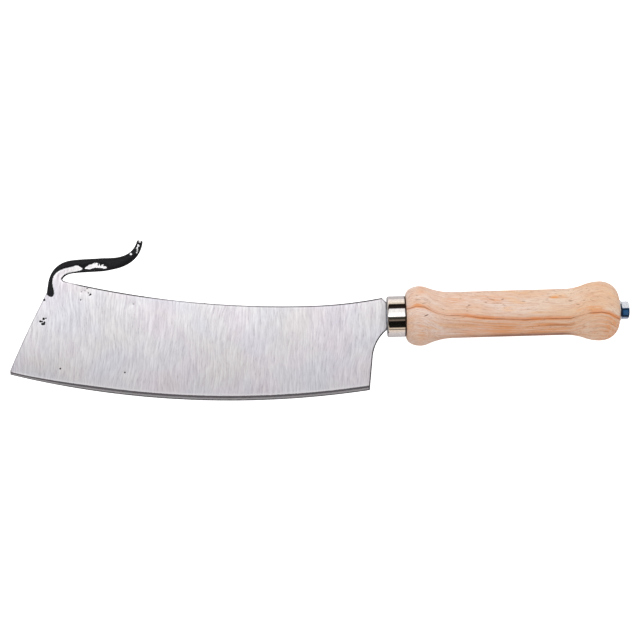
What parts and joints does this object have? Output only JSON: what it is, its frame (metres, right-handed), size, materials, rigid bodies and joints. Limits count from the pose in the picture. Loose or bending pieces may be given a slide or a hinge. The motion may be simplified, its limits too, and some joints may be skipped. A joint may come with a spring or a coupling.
{
  "type": "hooked harvest knife",
  "caption": "Broad forged knife with a curved edge and a pick hook at its tip, on a turned wooden handle with a metal ferrule and a nut that holds the tang.",
  "frame": {"origin": "middle of the wooden handle, on its axis", "axes": "+X along the handle's axis from the blade to the end nut, +Y from the cutting edge to the spine, +Z square to the blade's flat; the knife lies flat, resting on its handle"},
  "size_m": [0.3782, 0.0997, 0.0364],
  "materials": {
    "blade": "brushed, with black forge scale on the hook",
    "ferrule": "bright nickel plate",
    "handle": "turned beech, clear satin lacquer",
    "end_washer": "zinc plate",
    "end_nut": "blue zinc plate"
  },
  "bodies": {
    "knife": {"blade": "blade", "ferrule": "ferrule", "handle": "handle"},
    "washer": {"end_washer": "end_washer"},
    "nut": {"end_nut": "end_nut"}
  },
  "joints": [
    {"name": "washer_slide", "type": "slide", "parent": "knife", "child": "washer", "axis": [1, 0, 0], "range_m": [0, 0.005]},
    {"name": "nut_turn", "type": "hinge", "parent": "washer", "child": "nut", "pos_m": [0.06875, 0, 0], "axis": [1, 0, 0], "range_deg": [0, 1800]}
  ],
  "couplings": [
    {"joint": "nut_turn", "follows": "washer_slide", "rad_per_m": 6283.2}
  ]
}
